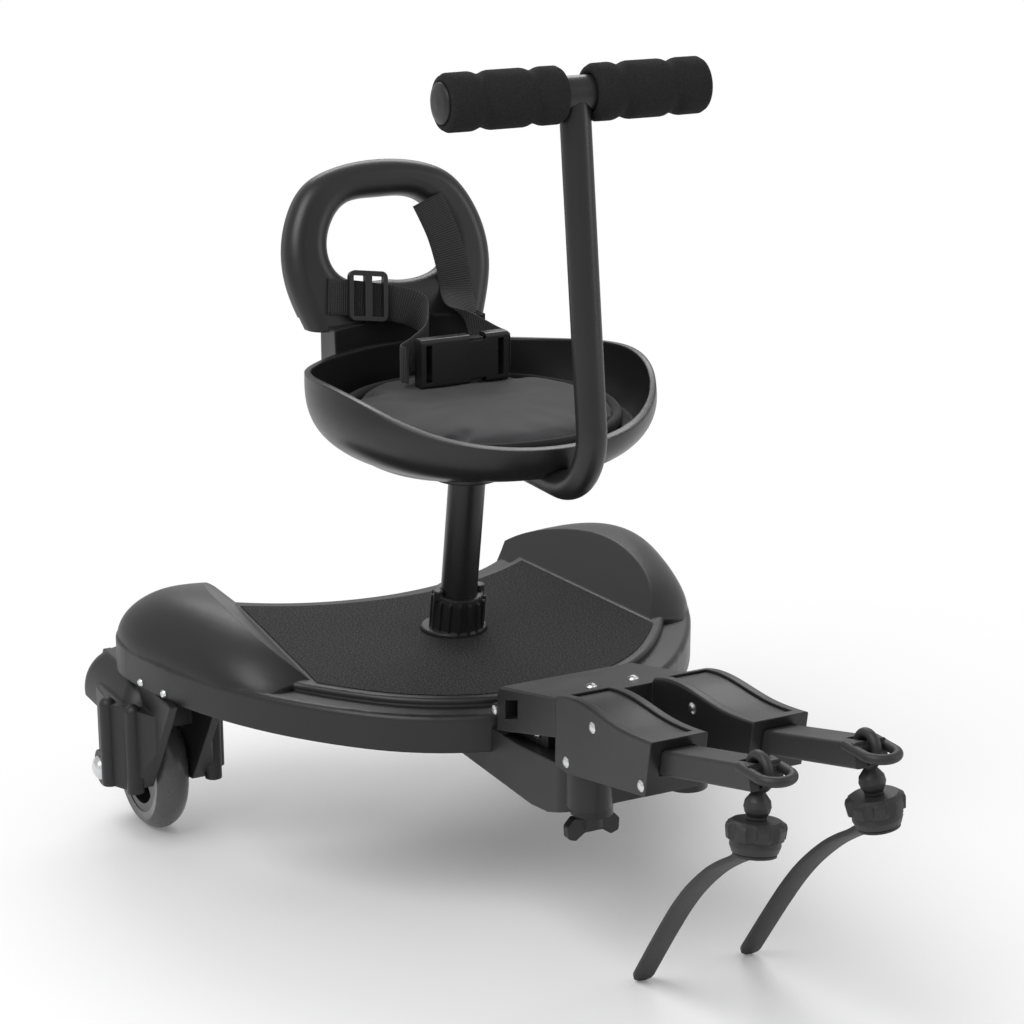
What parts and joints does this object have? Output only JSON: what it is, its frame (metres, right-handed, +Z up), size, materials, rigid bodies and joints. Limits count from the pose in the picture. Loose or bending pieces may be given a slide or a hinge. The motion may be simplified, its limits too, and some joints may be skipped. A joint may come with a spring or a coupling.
{
  "type": "stroller ride-on board with seat",
  "caption": "Ride-on board for a stroller: deck on rear wheels, raised seat with backrest loop and T handle, and two hinged arms with strap clamps.",
  "frame": {"origin": "middle of the overall footprint, on the floor", "axes": "+Y from the strap clamps towards the backrest, +Z up, +X to the right of a rider facing the clamps"},
  "size_m": [0.459, 0.6421, 0.5655],
  "materials": {
    "satin_plastic": "satin",
    "grip_mat": "speckled matte",
    "zinc": "zinc plated",
    "black_tube": "powder coated",
    "pad_cloth": "woven",
    "webbing": "ribbed webbing",
    "buckle_plastic": "satin",
    "foam": "closed-cell foam",
    "wheel_tread": "smoky, half clear",
    "rim_plastic": "gloss",
    "steel": "ground",
    "strap_rubber": "matte"
  },
  "bodies": {
    "board": {"deck": "satin_plastic", "deck_mat": "grip_mat", "post_socket": "satin_plastic", "front_bracket": "satin_plastic", "bracket_screws": "zinc", "pivot_pins": "steel", "hinge_block": "satin_plastic", "block_screws": "zinc", "left_fork": "satin_plastic", "left_fork_screws": "zinc", "left_axle": "zinc", "right_fork": "satin_plastic", "right_fork_screws": "zinc", "right_axle": "zinc"},
    "seat": {"seat_post": "black_tube", "seat_plate": "black_tube", "seat_shell": "satin_plastic", "seat_pad": "pad_cloth", "backrest": "satin_plastic", "shoulder_strap": "webbing", "cross_strap": "webbing", "tri_glide": "buckle_plastic", "buckle_socket": "buckle_plastic", "buckle_plug": "buckle_plastic", "handle_tube": "black_tube", "handle_crossbar": "black_tube", "left_grip": "foam", "right_grip": "foam", "left_end_plug": "satin_plastic", "right_end_plug": "satin_plastic"},
    "wing": {"wing_knob": "satin_plastic"},
    "left_wheel": {"left_tyre": "wheel_tread", "left_rim": "rim_plastic", "left_bearings": "steel"},
    "left_arm": {"left_arm_housing": "satin_plastic", "left_arm_pins": "zinc"},
    "left_release": {"left_lever": "satin_plastic"},
    "left_slider": {"left_bar": "satin_plastic", "left_loop": "satin_plastic"},
    "left_link": {"left_clamp_ring": "satin_plastic"},
    "left_clamp": {"left_clamp_cup": "satin_plastic", "left_strap": "strap_rubber"},
    "left_knob": {"left_clamp_knob": "satin_plastic"},
    "right_wheel": {"right_tyre": "wheel_tread", "right_rim": "rim_plastic", "right_bearings": "steel"},
    "right_arm": {"right_arm_housing": "satin_plastic", "right_arm_pins": "zinc"},
    "right_release": {"right_lever": "satin_plastic"},
    "right_slider": {"right_bar": "satin_plastic", "right_loop": "satin_plastic"},
    "right_link": {"right_clamp_ring": "satin_plastic"},
    "right_clamp": {"right_clamp_cup": "satin_plastic", "right_strap": "strap_rubber"},
    "right_knob": {"right_clamp_knob": "satin_plastic"}
  },
  "joints": [
    {"name": "seat_lift", "type": "slide", "parent": "board", "child": "seat", "axis": [0, -0.1582, 0.9874], "range_m": [0, 0.04]},
    {"name": "wing_turn", "type": "hinge", "parent": "board", "child": "wing", "pos_m": [0, -0.04814, 0.085], "axis": [0, 0, 1], "continuous": true},
    {"name": "left_wheel_spin", "type": "hinge", "parent": "board", "child": "left_wheel", "pos_m": [-0.184, 0.26686, 0.05], "axis": [1, 0, 0], "continuous": true},
    {"name": "left_arm_swing", "type": "hinge", "parent": "board", "child": "left_arm", "pos_m": [-0.0345, -0.10614, 0.155], "axis": [0, 0, -1], "range_deg": [0, 25]},
    {"name": "left_lever_rock", "type": "hinge", "parent": "left_arm", "child": "left_release", "pos_m": [-0.0345, -0.14314, 0.192], "axis": [-1, 0, 0], "range_deg": [0, 8], "stiffness_Nm_per_rad": 0.5},
    {"name": "left_bar_slide", "type": "slide", "parent": "left_arm", "child": "left_slider", "axis": [0, -0.9673, 0.2538], "range_m": [0, 0.04]},
    {"name": "left_link_swing", "type": "hinge", "parent": "left_slider", "child": "left_link", "pos_m": [-0.0345, -0.29664, 0.2185], "axis": [1, 0, 0], "range_deg": [-50, 0]},
    {"name": "left_clamp_swivel", "type": "hinge", "parent": "left_link", "child": "left_clamp", "pos_m": [-0.0355, -0.29514, 0.2163], "axis": [-0.123, -0.131, -0.9837], "range_deg": [-30, 30]},
    {"name": "left_knob_turn", "type": "hinge", "parent": "left_link", "child": "left_knob", "pos_m": [-0.0355, -0.29514, 0.2163], "axis": [-0.123, -0.131, -0.9837], "continuous": true},
    {"name": "right_wheel_spin", "type": "hinge", "parent": "board", "child": "right_wheel", "pos_m": [0.184, 0.26686, 0.05], "axis": [1, 0, 0], "continuous": true},
    {"name": "right_arm_swing", "type": "hinge", "parent": "board", "child": "right_arm", "pos_m": [0.0345, -0.10614, 0.155], "axis": [0, 0, 1], "range_deg": [0, 25]},
    {"name": "right_lever_rock", "type": "hinge", "parent": "right_arm", "child": "right_release", "pos_m": [0.0345, -0.14314, 0.192], "axis": [-1, 0, 0], "range_deg": [0, 8], "stiffness_Nm_per_rad": 0.5},
    {"name": "right_bar_slide", "type": "slide", "parent": "right_arm", "child": "right_slider", "axis": [0, -0.9673, 0.2538], "range_m": [0, 0.04]},
    {"name": "right_link_swing", "type": "hinge", "parent": "right_slider", "child": "right_link", "pos_m": [0.0345, -0.29664, 0.2185], "axis": [1, 0, 0], "range_deg": [-50, 0]},
    {"name": "right_clamp_swivel", "type": "hinge", "parent": "right_link", "child": "right_clamp", "pos_m": [0.0355, -0.29514, 0.2163], "axis": [0.123, -0.131, -0.9837], "range_deg": [-30, 30]},
    {"name": "right_knob_turn", "type": "hinge", "parent": "right_link", "child": "right_knob", "pos_m": [0.0355, -0.29514, 0.2163], "axis": [0.123, -0.131, -0.9837], "continuous": true}
  ]
}
